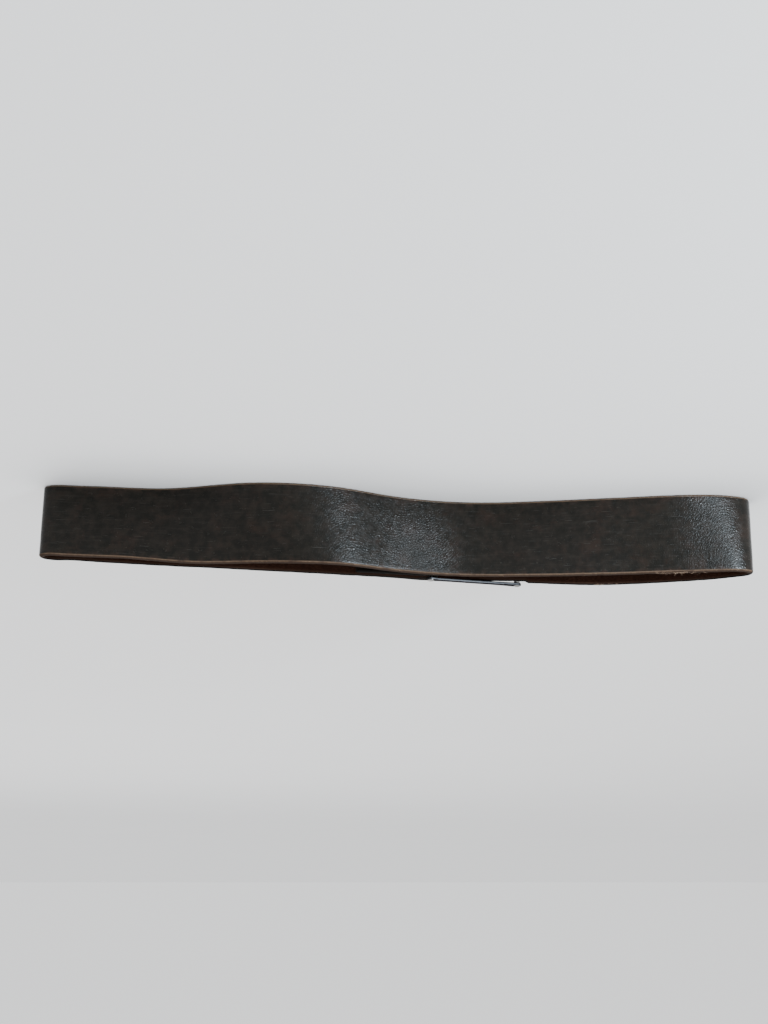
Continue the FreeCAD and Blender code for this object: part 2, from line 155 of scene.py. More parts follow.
class Spline:
    """A natural cubic through plan points, with its tangent."""

    def __init__(self, marks, points):
        self.marks = np.asarray(marks)
        self.points = np.asarray(points, float)
        gap = np.diff(self.marks)
        count = len(self.marks)
        system = np.eye(count)
        right = np.zeros((count, 2))
        for i in range(1, count - 1):
            system[i, i - 1:i + 2] = (gap[i - 1], 2 * (gap[i - 1] + gap[i]), gap[i])
            rise = (self.points[i + 1] - self.points[i]) / gap[i]
            rise -= (self.points[i] - self.points[i - 1]) / gap[i - 1]
            right[i] = 6 * rise
        self.bend = np.linalg.solve(system, right)

    def at(self, mark):
        i = np.clip(np.searchsorted(self.marks, mark, side="right") - 1, 0, len(self.marks) - 2)
        gap = (self.marks[i + 1] - self.marks[i])[:, None]
        a = (self.marks[i + 1] - mark)[:, None] / gap
        b = 1 - a
        m0, m1 = self.bend[i], self.bend[i + 1]
        p0, p1 = self.points[i], self.points[i + 1]
        place = a * p0 + b * p1 + ((a ** 3 - a) * m0 + (b ** 3 - b) * m1) * gap ** 2 / 6
        along = (p1 - p0) / gap + (-(3 * a ** 2 - 1) * m0 + (3 * b ** 2 - 1) * m1) * gap / 6
        along /= np.linalg.norm(along, axis=1)[:, None]
        return place, np.stack([-along[:, 1], along[:, 0]], axis=1)


def strap_route():
    parts = [folded_end(), buckled_run(), open_run(), slack_run(), tail_end()]
    route = [station for part in parts for station in part]
    marks = [0.0]
    for before, after in zip(route, route[1:]):
        step = math.dist(before[0], after[0]) + math.dist(before[1], after[1])
        marks.append(marks[-1] + step / 2)
    lengths = np.cumsum([len(part) for part in parts])
    ends = {name: marks[i - 1] for name, i in zip(("fold", "run", "open", "slack", "tail"), lengths)}
    floor = Spline(marks, [station[0] for station in route])
    top = Spline(marks, [station[1] for station in route])
    return floor, top, ends, marks[-1]


FLOOR, TOP, ENDS, GIRTH = strap_route()

# ------------------------------------------------------------------ strap mesh
STEP = 1.1            # spacing of cross-sections
FACE_STEPS = 46       # divisions across each face
ROUND_STEPS = 8       # divisions round each cut edge
ROUND = 1.5           # radius of the worn, rounded edges
SWELL = 0.05          # depth of the slow relief on the faces
NICK = 0.07           # depth of the nibbles in the cut edges
POINT_LONG = 11.5     # length of the tail's shaped tip
FOLD_SHOULDER = (PIVOT[0] + 5.6, PIVOT[0] + 8.6)     # plan x where the fold widens to the full strap
TAIL_SHOULDER = (-73.4, -71.4)                       # plan x where the strap narrows to the tail


def wave_field(seed, shortest, count):
    """Smooth random relief as a sum of waves, over length and height in mm."""
    local = np.random.default_rng(seed)
    pitch = shortest * (1 + 2.5 * local.random(count))
    heading = local.random(count) * 2 * math.pi
    phase = local.random(count) * 2 * math.pi

    def field(u, v):
        total = np.zeros_like(u)
        for p, h, f in zip(pitch, heading, phase):
            total += np.sin(2 * math.pi * (u * math.cos(h) + v * math.sin(h)) / p + f)
        return total / math.sqrt(count)

    return field


def section():
    """(across, height share, curl round the edge) once round the leather, outer face first."""
    ring = []
    for i in range(FACE_STEPS + 1):
        ring.append((1.0, i / FACE_STEPS, 0.0))
    for i in range(1, ROUND_STEPS):
        turn = math.pi * i / ROUND_STEPS
        ring.append((math.cos(turn), 1.0, math.sin(turn)))
    for i in range(FACE_STEPS, -1, -1):
        ring.append((-1.0, i / FACE_STEPS, 0.0))
    for i in range(1, ROUND_STEPS):
        turn = math.pi * i / ROUND_STEPS
        ring.append((-math.cos(turn), 0.0, -math.sin(turn)))
    return np.array(ring)


def height_limits(marks, x):
    """Lower and upper edge of the leather: narrower through the frame, pointed at the tail."""
    folded = 1 - smooth(x, *FOLD_SHOULDER)
    folded = np.where(marks < ENDS["fold"] - 18, 1.0, np.where(marks < ENDS["run"], folded, 0.0))
    tail = np.where(marks > ENDS["open"] + 80, smooth(x, *TAIL_SHOULDER), 0.0)
    narrow = np.maximum(folded, tail)
    low = narrow * BILLET_LOW
    high = WIDTH - narrow * (WIDTH - BILLET_HIGH)
    left = GIRTH - marks
    point = np.clip(left / POINT_LONG, 0, 1)
    half = 11.0 + 10.0 * np.sqrt(np.clip(1 - (1 - point) ** 2, 0, 1)) ** 1.3
    half = np.where(left < 1.6, half - (1.6 - left) ** 2 * 0.9, half)
    near_end = left < POINT_LONG
    low = np.where(near_end, np.maximum(low, MID_HEIGHT - half), low)
    high = np.where(near_end, np.minimum(high, MID_HEIGHT + half), high)
    return low, high


def strap_points():
    count = int(GIRTH / STEP)
    marks = np.linspace(0.0, GIRTH, count + 1)
    foot, foot_side = FLOOR.at(marks)
    head, head_side = TOP.at(marks)
    lean = np.linalg.norm(head - foot, axis=1)
    tall = np.sqrt(WIDTH ** 2 - lean ** 2)
    low, high = height_limits(marks, foot[:, 0])
    ring = section()
    ends = np.minimum(smooth(marks, -0.4, 1.0), smooth(GIRTH - marks, -0.4, 1.0))
    relief = wave_field(seed=3, shortest=16, count=14)
    calm = smooth(marks, ENDS["fold"] - 14, ENDS["fold"])
    nibble = wave_field(seed=5, shortest=4.5, count=16)
    rows, extra = [], []
    for across, share, curl in ring:
        half = THICK / 2 * ends
        nick = NICK * nibble(marks, np.full_like(marks, 40.0 if share > 0.5 else 0.0) + across)
        bottom = low + ROUND
        ceiling = high - ROUND
        height = bottom + (ceiling - bottom) * share + curl * (ROUND + np.minimum(nick, 0.0))
        swell = SWELL * relief(marks, height + 200 * (across > 0)) * abs(across) * calm
        offset = across * half * (1 - 0.03 * abs(curl)) + swell
        rise = height / WIDTH
        a = foot + foot_side * offset[:, None]
        b = head + head_side * offset[:, None]
        plan = a + (b - a) * rise[:, None]
        rows.append(np.column_stack([plan - np.array(CENTRE), tall * rise]) * MM)
        extra.append(np.column_stack([marks, height, offset]))
    return np.stack(rows, axis=1), np.stack(extra, axis=1), ring, low, high


def grid_faces(count, ring):
    faces = []
    for i in range(count - 1):
        for j in range(ring):
            k = (j + 1) % ring
            faces.append((i * ring + j, i * ring + k, (i + 1) * ring + k, (i + 1) * ring + j))
    faces.append(tuple(range(ring))[::-1])
    faces.append(tuple(range((count - 1) * ring, count * ring)))
    return faces


def put_attribute(mesh, name, values):
    attribute = mesh.attributes.new(name, "FLOAT", "POINT")
    attribute.data.foreach_set("value", np.asarray(values, dtype=np.float32))


def link_object(name, data):
    obj = bpy.data.objects.new(name, data)
    bpy.context.scene.collection.objects.link(obj)
    return obj


def make_object(name, vertices, faces, material):
    mesh = bpy.data.meshes.new(name)
    mesh.from_pydata([tuple(v) for v in vertices], [], faces)
    mesh.validate()
    mesh.update()
    obj = link_object(name, mesh)
    mesh.materials.append(material)
    mesh.polygons.foreach_set("use_smooth", [True] * len(mesh.polygons))
    return obj


def bmesh_object(name, work):
    mesh = bpy.data.meshes.new(name)
    work.to_mesh(mesh)
    work.free()
    return link_object(name, mesh)


def run_across():
    """Unit vector square to the buckled run, towards its outer side."""
    slope = math.atan(RUN_SLOPE)
    return Vector((-math.sin(slope), math.cos(slope), 0))


def screw_centre(level):
    """Middle of the two layers that a screw holds; level is -1 for the lower, 1 for the upper."""
    centre = row_point(SCREW_X, run_line(SCREW_X), MID_HEIGHT + level * SCREW_RISE)
    return centre - run_across() * (FOLD_PITCH / 2 * MM)


def cutters():
    """One object with everything that is cut out of the leather: holes and the prong slot."""
    work = bmesh.new()

    def drum(radius, depth, place, axis, segments=40):
        result = bmesh.ops.create_cone(work, cap_ends=True, segments=segments, radius1=radius * MM,
                                       radius2=radius * MM, depth=depth * MM)
        turn = Vector((0, 0, 1)).rotation_difference(axis).to_matrix()
        bmesh.ops.transform(work, matrix=turn.to_4x4(), verts=result["verts"])
        bmesh.ops.translate(work, vec=place, verts=result["verts"])
        return result["verts"]

    across = run_across()
    hole_deep, used_deep, screw_deep, stretch = 3.9, 4.6, 8.0, 2.3
    drum(SLOT_RADIUS, SLOT_TALL, row_point(PIVOT[0], PIVOT[1], MID_HEIGHT), Vector((0, 0, 1)), 56)
    used = drum(HOLE_RADIUS, used_deep, Vector((0, 0, 0)), Vector((0, 1, 0)))
    for vertex in used:
        vertex.co.x += math.copysign(stretch * MM, vertex.co.x)
    bmesh.ops.translate(work, vec=row_point(-21.3, 19.9, MID_HEIGHT), verts=used)
    for x, y in ((5.7, 14.3), (30.7, run_line(30.7, TAIL_PITCH))):
        drum(HOLE_RADIUS, hole_deep, row_point(x, y, MID_HEIGHT), across)
    for level in (-1, 1):
        drum(SCREW_BORE, screw_deep, screw_centre(level) - across * (0.25 * MM), across)
    return bmesh_object("cutters", work)


def apply_modifiers(obj):
    graph = bpy.context.evaluated_depsgraph_get()
    graph.update()
    done = bpy.data.meshes.new_from_object(obj.evaluated_get(graph), preserve_all_data_layers=True,
                                           depsgraph=graph)
    obj.modifiers.clear()
    obj.data = done


def combine(obj, tool, operation):
    """One exact boolean with a tool object, which is used up."""
    step = obj.modifiers.new("combine", "BOOLEAN")
    step.operation = operation
    step.solver = "EXACT"
    step.object = tool
    apply_modifiers(obj)
    bpy.data.objects.remove(tool)


def outward_normals(obj, merge=False):
    work = bmesh.new()
    work.from_mesh(obj.data)
    if merge:
        bmesh.ops.remove_doubles(work, verts=work.verts, dist=1e-6)
    bmesh.ops.recalc_face_normals(work, faces=work.faces)
    work.to_mesh(obj.data)
    work.free()


def mark_at(x, start, end):
    """Length along the strap, between start and end, where its top edge is nearest to x."""
    marks = np.linspace(start, end, 800)
    places, _ = TOP.at(marks)
    return float(marks[np.argmin(np.abs(places[:, 0] - x))])


def rough_patches(marks, heights):
    """Where the grain stands up: handled areas of the open run, stronger towards the top edge."""
    open_part = (ENDS["run"] + 30, ENDS["open"] + 25)
    # (plan x, spread along the strap, strength, share of it at the floor edge)
    patches = [(-8.0, 13.0, 1.0, 0.25), (14.0, 22.0, 0.26, 0.8), (-177.0, 9.0, 1.0, 0.8)]
    total = np.zeros_like(marks)
    for x, spread, strength, floor_share in patches:
        near = np.exp(-((marks - mark_at(x, *open_part)) / spread) ** 2 / 2)
        rise = floor_share + (1 - floor_share) * smooth(heights, 6.0, 36.0)
        total = np.maximum(total, near * strength * rise)
    return total


def build_strap(material):
    points, extra, ring, low, high = strap_points()
    count, around = points.shape[:2]
    obj = make_object("strap_leather", points.reshape(-1, 3), grid_faces(count, around), material)
    mesh = obj.data
    flat = extra.reshape(-1, 3)
    curl = np.abs(np.tile(ring[:, 2], count))
    across = np.tile(ring[:, 0], count)
    end = GIRTH - flat[:, 0]
    edge = np.maximum(smooth(curl, 0.02, 0.25), 1 - smooth(np.minimum(end, flat[:, 0]), 0.3, 1.0))
    far = np.where((flat[:, 0] < ENDS["run"] - 6) | (flat[:, 0] > ENDS["open"] + 30), 1.0, 0.0)
    edge_gap = np.minimum(flat[:, 1] - np.repeat(low, around), np.repeat(high, around) - flat[:, 1])
    put_attribute(mesh, "along", flat[:, 0] * MM)
    put_attribute(mesh, "up", flat[:, 1] * MM)
    put_attribute(mesh, "edge", edge)
    put_attribute(mesh, "flesh", smooth(-across, -0.2, 0.35))
    put_attribute(mesh, "rim", 1 - smooth(edge_gap, 0.8, 4.0))
    # cut edges darker on every part but the open run, most on the outer-face half of the edge
    put_attribute(mesh, "edge_darkening", far * (0.2 + 0.8 * smooth(across, -0.95, -0.45)))
    put_attribute(mesh, "crown", curl)
    put_attribute(mesh, "pebbly", rough_patches(flat[:, 0], flat[:, 1]))
    combine(obj, cutters(), "DIFFERENCE")
    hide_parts("strap")
    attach(obj, "strap_body")


# ------------------------------------------------------------------ metal shapes
def lathe(profile, segments=48):
    """A closed turned solid about Z from (radius, height) pairs, axis to axis, in mm."""
    vertices, faces = [], []
    rings = []
    for radius, height in profile:
        if radius < 1e-6:
            rings.append([len(vertices)])
            vertices.append(Vector((0, 0, height)) * MM)
            continue
        ring = []
        for i in range(segments):
            turn = 2 * math.pi * i / segments
            ring.append(len(vertices))
            vertices.append(Vector((radius * math.cos(turn), radius * math.sin(turn), height)) * MM)
        rings.append(ring)
    for lower, upper in zip(rings, rings[1:]):
        for i in range(segments):
            j = (i + 1) % segments
            if len(lower) == 1:
                faces.append((lower[0], upper[j], upper[i]))
            elif len(upper) == 1:
                faces.append((lower[i], lower[j], upper[0]))
            else:
                faces.append((lower[i], lower[j], upper[j], upper[i]))
    return vertices, faces


def dome(radius, proud, height, steps=5, down=False):
    """Profile of a domed end of a round bar, from its rim to the axis."""
    sign = -1 if down else 1
    points = [(radius * math.cos(a), height + sign * proud * math.sin(a))
              for a in np.linspace(0, math.pi / 2, steps + 1)]
    points[-1] = (0.0, height + sign * proud)
    return points[::-1] if down else points


def placed(vertices, matrix):
    return [matrix @ v for v in vertices]


def buckle_matrix(z):
    turn = Matrix.Rotation(RAIL_ANGLE, 4, "Z")
    return Matrix.Translation(row_point(PIVOT[0], PIVOT[1], z)) @ turn


def finish_metal(obj, nodes, body, bevel=0.0):
    if bevel:
        rounding = obj.modifiers.new("round", "BEVEL")
        rounding.width = bevel * MM
        rounding.segments = 3
        rounding.limit_method = "ANGLE"
        rounding.angle_limit = math.radians(40)
        apply_modifiers(obj)
        obj.data.polygons.foreach_set("use_smooth", [True] * len(obj.data.polygons))
    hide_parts(*nodes)
    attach(obj, body)


def rail_outline():
    """Plan of a rail in mm: a flat bar that flows into a round eye at each end."""
    heel, front, half = 2.6, 2.4, 1.6
    neck_heel, neck_front = heel - half, front - half
    heel_flow, front_flow = 3.2, 9.0
    steps = 140
    upper = []
    for i in range(steps + 1):
        turn = math.pi * (1 - i / steps)
        x = RAIL_SPAN / 2 + (RAIL_SPAN / 2 + (heel if turn > math.pi / 2 else front)) * math.cos(turn)
        width = 0.0
        for centre, radius in ((0.0, heel), (RAIL_SPAN, front)):
            reach = radius ** 2 - (x - centre) ** 2
            width = max(width, math.sqrt(reach) if reach > 0 else 0.0)
        if 0 < x < RAIL_SPAN:
            flow = half + neck_heel * math.exp(-(x / heel_flow) ** 2)
            flow += neck_front * math.exp(-((RAIL_SPAN - x) / front_flow) ** 2)
            width = max(width, flow)
        upper.append((x, width))
    lower = [(x, -w) for x, w in upper[-2:0:-1]]
    return upper + lower


def build_rail(name, z, material):
    outline = rail_outline()
    vertices = [Vector((x, y, 0)) * MM for x, y in outline]
    vertices += [Vector((x, y, RAIL_THICK)) * MM for x, y in outline]
    count = len(outline)
    faces = [tuple(range(count)), tuple(range(2 * count - 1, count - 1, -1))]
    faces += [(i, i + count, (i + 1) % count + count, (i + 1) % count) for i in range(count)]
    obj = make_object(name + "_plate", placed(vertices, buckle_matrix(z)), faces, material)
    outward_normals(obj)
    finish_metal(obj, (name,), "buckle", bevel=0.42)


def build_bar(name, radius, tenon, head, shoulder, along, material):
    """A round bar, peened over the eye of each rail into a low domed head."""
    low, high = FRAME_LOW, FRAME_LOW + FRAME_TALL
    lip, low_rise, high_rise, chamfer = 0.1, 0.1, 0.5, 0.2
    profile = dome(head, low_rise, low - lip, down=True)
    profile += [(head, low), (tenon, low + 0.01)]
    profile += [(tenon, low + shoulder), (radius - chamfer, low + shoulder)] if shoulder else []
    profile += [(radius, low + shoulder + chamfer), (radius, high - shoulder - chamfer)]
    profile += [(radius - chamfer, high - shoulder), (tenon, high - shoulder)] if shoulder else []
    profile += [(tenon, high - 0.01), (head, high)]
    profile += dome(head, high_rise, high + lip)
    vertices, faces = lathe(profile)
    matrix = buckle_matrix(0) @ Matrix.Translation((along * MM, 0, 0))
    obj = make_object(name + "_pin", placed(vertices, matrix), faces, material)
    finish_metal(obj, (name,), "buckle")


def prong_path():
    """Middle line of the prong, in mm along and across the frame, from tip to knuckle."""
    lift = FRONT_RADIUS + PRONG_CLEAR + PRONG_RADIUS
    return [(RAIL_SPAN + 2.3, -lift + 0.1), (RAIL_SPAN - 4, -lift - 0.1), (36, -4.4), (26, -6.1),
            (17, -8.3), (12.2, -9.2), (9.3, -8.0), (6.6, -5.3), (2.3, -1.1)]


def build_prong(material):
    """A bent round stem, flattened a little at its rounded tip, on a rolled knuckle."""
    path = prong_path()
    marks = np.cumsum([0] + [math.dist(a, b) for a, b in zip(path, path[1:])])
    spine = Spline(marks, path)
    sections, around = 120, 24
    places, sides = spine.at(np.linspace(0, marks[-1], sections))
    vertices = []
    for i, (place, side) in enumerate(zip(places, sides)):
        travelled = marks[-1] * i / (sections - 1)
        blunt = math.sqrt(max(1 - (1 - min(travelled / PRONG_RADIUS, 1)) ** 2, 0.02))
        flat = 1 - 0.12 * (1 - min(travelled / 12, 1))
        for j in range(around):
            turn = 2 * math.pi * j / around
            reach = PRONG_RADIUS * blunt * flat * math.cos(turn)
            vertices.append(Vector((place[0] + side[0] * reach, place[1] + side[1] * reach,
                                    PRONG_RADIUS * blunt * math.sin(turn))) * MM)
    faces = [(i * around + j, i * around + (j + 1) % around, (i + 1) * around + (j + 1) % around,
              (i + 1) * around + j) for i in range(sections - 1) for j in range(around)]
    faces.append(tuple(range(around)))
    faces.append(tuple(range((sections - 1) * around, sections * around))[::-1])
    wall_middle, half_wall, half_tall, bulge = 2.33, 0.77, 2.2, 0.5
    profile = []
    for turn in np.linspace(0, 2 * math.pi, 33):
        c, s = math.cos(turn), math.sin(turn)
        profile.append((wall_middle + half_wall * math.copysign(abs(c) ** bulge, c),
                        half_tall * math.copysign(abs(s) ** bulge, s)))
    knuckle, knuckle_faces = lathe(profile)
    matrix = buckle_matrix(MID_HEIGHT)
    obj = make_object("prong_stem", placed(vertices, matrix), faces, material)
    part = make_object("prong_knuckle", placed(knuckle, matrix), knuckle_faces, material)
    for piece in (obj, part):
        outward_normals(piece, merge=True)
    combine(obj, part, "UNION")
    finish_metal(obj, ("prong",), "prong_body")


def build_screw(name, level, outer, material):
    """One half of a two-part screw: a low domed head on a barrel or a slotted stud."""
    across = run_across()
    reach = (FOLD_PITCH + THICK) / 2 + 0.03
    barrel = 2.4 if outer else 1.3
    length = 5.2 if outer else 4.4
    rim = 0.3
    profile = [(0.0, -length), (barrel, -length), (barrel, 0.0), (HEAD_RADIUS - 0.2, 0.0)]
    profile += [(HEAD_RADIUS, 0.16), (HEAD_RADIUS, rim)] + dome(HEAD_RADIUS, 0.4, rim, steps=7)[1:]
    vertices, faces = lathe(profile, 56)
    turn = Vector((0, 0, 1)).rotation_difference(across if outer else -across).to_matrix().to_4x4()
    place = screw_centre(level) + across * ((reach if outer else -reach) * MM)
    stand = Matrix.Translation(place) @ turn
    obj = make_object(name + "_turned", placed(vertices, stand), faces, material)
    if not outer:
        work = bmesh.new()
        bmesh.ops.create_cube(work, size=1.0)
        slot_size = Vector((7.0, 0.85, 0.8))
        bmesh.ops.scale(work, vec=slot_size * MM, verts=work.verts)
        tilt = Matrix.Rotation(math.radians(28 + 50 * level), 4, "Z")
        lift = Matrix.Translation((0, 0, 0.75 * MM))
        bmesh.ops.transform(work, matrix=stand @ tilt @ lift, verts=work.verts)
        combine(obj, bmesh_object("driver_slot", work), "DIFFERENCE")
    finish_metal(obj, (name,), "strap_body")


# ------------------------------------------------------------------ materials
class Nodes:
    """Short names for the shader nodes that the materials use."""

    def __init__(self, name):
        self.material = bpy.data.materials.new(name)
        self.material.use_nodes = True
        self.tree = self.material.node_tree
        self.shader = self.tree.nodes["Principled BSDF"]

    def add(self, kind, **settings):
        node = self.tree.nodes.new(kind)
        for key, value in settings.items():
            setattr(node, key, value)
        return node

    def put(self, socket, value):
        if isinstance(value, bpy.types.NodeSocket):
            self.tree.links.new(value, socket)
        elif hasattr(socket.default_value, "__len__") and len(socket.default_value) == 4:
            socket.default_value = (*value, 1.0)
        else:
            socket.default_value = value

    def attribute(self, name):
        return self.add("ShaderNodeAttribute", attribute_name=name).outputs["Fac"]

    def vector(self, x, y, z):
        node = self.add("ShaderNodeCombineXYZ")
        for socket, value in zip(node.inputs, (x, y, z)):
            self.put(socket, value)
        return node.outputs[0]

    def math(self, operation, a, b=0.0, clamp=False):
        node = self.add("ShaderNodeMath", operation=operation, use_clamp=clamp)
        self.put(node.inputs[0], a)
        self.put(node.inputs[1], b)
        return node.outputs[0]

    def noise(self, vector, scale, detail=3.0, rough=0.55, distort=0.0):
        node = self.add("ShaderNodeTexNoise")
        self.put(node.inputs["Vector"], vector)
        node.inputs["Scale"].default_value = scale
        node.inputs["Detail"].default_value = detail
        node.inputs["Roughness"].default_value = rough
        node.inputs["Distortion"].default_value = distort
        return node.outputs["Fac"]

    def cells(self, vector, scale):
        node = self.add("ShaderNodeTexVoronoi", feature="DISTANCE_TO_EDGE")
        self.put(node.inputs["Vector"], vector)
        node.inputs["Scale"].default_value = scale
        return node.outputs["Distance"]

    def span(self, value, low, high, start=0.0, end=1.0):
        node = self.add("ShaderNodeMapRange", interpolation_type="SMOOTHSTEP")
        self.put(node.inputs["Value"], value)
        node.inputs["From Min"].default_value = low
        node.inputs["From Max"].default_value = high
        node.inputs["To Min"].default_value = start
        node.inputs["To Max"].default_value = end
        return node.outputs["Result"]

    def mix(self, share, a, b):
        node = self.add("ShaderNodeMix", data_type="RGBA")
        self.put(node.inputs["Factor"], share)
        self.put(node.inputs[6], a)
        self.put(node.inputs[7], b)
        return node.outputs[2]

    def bump(self, height, distance, normal=None):
        node = self.add("ShaderNodeBump")
        node.inputs["Strength"].default_value = 1.0
        node.inputs["Distance"].default_value = distance
        self.put(node.inputs["Height"], height)
        if normal is not None:
            self.put(node.inputs["Normal"], normal)
        return node.outputs["Normal"]


OUTER_DARK = (0.0036, 0.0032, 0.0024)
OUTER_BROWN = (0.0074, 0.0058, 0.0044)
RED_BROWN = (0.0150, 0.0080, 0.0056)
SCUFF = (0.026, 0.023, 0.020)
RAW_EDGE = (0.044, 0.026, 0.0155)
EDGE_LIGHT = (0.082, 0.053, 0.033)
EDGE_BROWN = (0.021, 0.0125, 0.0085)
EDGE_RED = (0.020, 0.0092, 0.0058)
EDGE_BLACK = (0.0050, 0.0042, 0.0035)
FLESH_DARK = (0.022, 0.0086, 0.0052)
FLESH_LIGHT = (0.052, 0.0215, 0.0125)
FIBRE_PALE = (0.30, 0.20, 0.13)

GRAIN_DEEP = 0.00004        # relief heights, in metres
GRAIN_FINE = 0.000018
RAGGED_CUT = 0.00018
METAL_HAIRLINES = 0.000006


def leather_material():
    n = Nodes("strap_leather")
    along, up = n.attribute("along"), n.attribute("up")
    edge, flesh = n.attribute("edge"), n.attribute("flesh")
    rim, edge_darkening, crown = n.attribute("rim"), n.attribute("edge_darkening"), n.attribute("crown")
    pebbly = n.attribute("pebbly")
    place = n.vector(along, up, n.math("MULTIPLY", flesh, 0.3))
    stretched = n.vector(n.math("MULTIPLY", along, 0.045), up, n.math("MULTIPLY", flesh, 0.3))

    # patterns that the layers below share
    blotch = n.noise(place, 60.0, 6.0, 0.7, 0.3)
    mottle = n.noise(place, 190.0, 4.0, 0.6)
    streak = n.noise(stretched, 900.0, 4.0, 0.65)
    scratch = n.span(n.noise(stretched, 1900.0, 2.0, 0.5, 0.2), 0.66, 0.74)
    pebble = n.cells(place, 820.0)
    pores = n.noise(place, 2600.0, 3.0, 0.6)
    speckle = n.span(n.noise(place, 820.0, 3.0, 0.6), 0.43, 0.57)

    # outer face: near black, browner where it is rubbed, with fine pale scuffs
    outer = n.mix(n.span(mottle, 0.35, 0.7), OUTER_DARK, OUTER_BROWN)
    outer = n.mix(n.span(blotch, 0.48, 0.7, 0.0, 0.4), outer, RED_BROWN)
    outer = n.mix(n.span(streak, 0.52, 0.75, 0.0, 0.14), outer, SCUFF)
    outer = n.mix(n.math("MULTIPLY", scratch, 0.4), outer, SCUFF)
    worn = n.math("MULTIPLY", rim, n.span(mottle, 0.42, 0.66, 0.0, 0.7))
    outer = n.mix(worn, outer, RED_BROWN)

    # flesh side: red-brown nap
    fibre = n.noise(n.vector(n.math("MULTIPLY", along, 0.35), up, 0.0), 1500.0, 4.0, 0.7)
    nap = n.mix(n.span(fibre, 0.35, 0.7), FLESH_DARK, FLESH_LIGHT)
    nap = n.mix(n.span(blotch, 0.4, 0.65, 0.0, 0.5), nap, FLESH_DARK)

    # cut edges: raw tan in layers, browner at the crest, darker red-brown to black all round but on
    # the open run
    layers = n.noise(n.vector(n.math("MULTIPLY", along, 0.25), n.math("MULTIPLY", edge, 0.004), 0.0),
                     2200.0, 4.0, 0.7)
    cut = n.mix(n.span(layers, 0.32, 0.7), RAW_EDGE, EDGE_LIGHT)
    cut = n.mix(n.span(n.noise(place, 120.0, 3.0), 0.5, 0.72, 0.0, 0.7), cut, RED_BROWN)
    crest = n.math("ADD", crown, n.math("MULTIPLY", mottle, 0.3))
    cut = n.mix(n.span(crest, 0.5, 0.85, 0.0, 0.9), cut, EDGE_BROWN)
    # edges of every part but the open run: red-brown, then black on the outer-face half
    cut = n.mix(n.span(edge_darkening, 0.02, 0.15, 0.0, 0.85), cut, EDGE_RED)
    cut = n.mix(n.span(edge_darkening, 0.3, 0.8), cut, EDGE_BLACK)

    colour = n.mix(flesh, outer, nap)
    colour = n.mix(edge, colour, cut)
    n.put(n.shader.inputs["Base Color"], colour)

    # gloss: a waxed outer face, rough nap and edges
    gloss = n.span(n.noise(place, 300.0, 4.0), 0.3, 0.7, 0.17, 0.28)
    gloss = n.math("ADD", gloss, n.math("MULTIPLY", scratch, 0.12))
    pits = n.math("SUBTRACT", 0.2, n.math("MULTIPLY", speckle, 0.14))
    gloss = n.math("ADD", gloss, n.math("MULTIPLY", pebbly, pits))
    rough = n.math("MAXIMUM", n.math("MULTIPLY", flesh, 0.9), n.math("MULTIPLY", edge, 0.85))
    n.put(n.shader.inputs["Roughness"], n.math("MAXIMUM", gloss, rough))
    n.shader.inputs["Specular IOR Level"].default_value = 0.10

    # relief: pebble grain and pores outside, ragged fibres on the nap and the edges
    grain = n.span(pebble, 0.0, 0.16)
    grain = n.math("ADD", grain, n.math("MULTIPLY", speckle, pebbly))
    grain = n.math("MULTIPLY", grain, n.math("ADD", 0.5, n.math("MULTIPLY", pebbly, 0.55)))
    grain = n.math("MULTIPLY", grain, n.math("SUBTRACT", 1.0, n.math("MAXIMUM", flesh, edge), True))
    deep = n.bump(grain, GRAIN_DEEP)
    fine = n.bump(n.math("ADD", pores, n.math("MULTIPLY", scratch, -0.8)), GRAIN_FINE, deep)
    ragged = n.math("MULTIPLY", n.math("MAXIMUM", flesh, edge), n.math("ADD", fibre, layers))
    n.put(n.shader.inputs["Normal"], n.bump(ragged, RAGGED_CUT, fine))
    return n.material


def fibre_material():
    n = Nodes("strap_fibre")
    coordinates = n.add("ShaderNodeTexCoord").outputs["Object"]
    tone = n.noise(coordinates, 900.0, 3.0)
    n.put(n.shader.inputs["Base Color"], n.mix(n.span(tone, 0.3, 0.7), RAW_EDGE, FIBRE_PALE))
    n.put(n.shader.inputs["Roughness"], n.span(tone, 0.3, 0.7, 0.75, 0.95))
    return n.material


def metal_material(name, dark, light, tarnish, rough, glance=(1.0, 1.0, 1.0)):
    n = Nodes(name)
    coordinates = n.add("ShaderNodeTexCoord").outputs["Object"]
    cloud = n.noise(coordinates, 260.0, 5.0, 0.6, 0.3)
    speck = n.noise(coordinates, 1500.0, 3.0, 0.6)
    brush = n.add("ShaderNodeMapping")
    n.put(brush.inputs["Vector"], coordinates)
    brush.inputs["Scale"].default_value = (0.08, 1.0, 1.0)
    hair = n.noise(brush.outputs["Vector"], 4200.0, 2.0)
    colour = n.mix(n.span(cloud, 0.35, 0.65), dark, light)
    colour = n.mix(n.span(speck, 0.6, 0.72, 0.0, 0.6), colour, tarnish)
    n.put(n.shader.inputs["Base Color"], colour)
    n.shader.inputs["Metallic"].default_value = 1.0
    n.shader.inputs["Specular Tint"].default_value = (*glance, 1.0)
    worn = n.math("ADD", n.span(cloud, 0.3, 0.7, rough - 0.07, rough + 0.09),
                  n.span(hair, 0.3, 0.7, -0.04, 0.06))
    n.put(n.shader.inputs["Roughness"], worn)
    n.put(n.shader.inputs["Normal"], n.bump(n.math("ADD", hair, speck), METAL_HAIRLINES))
    return n.material


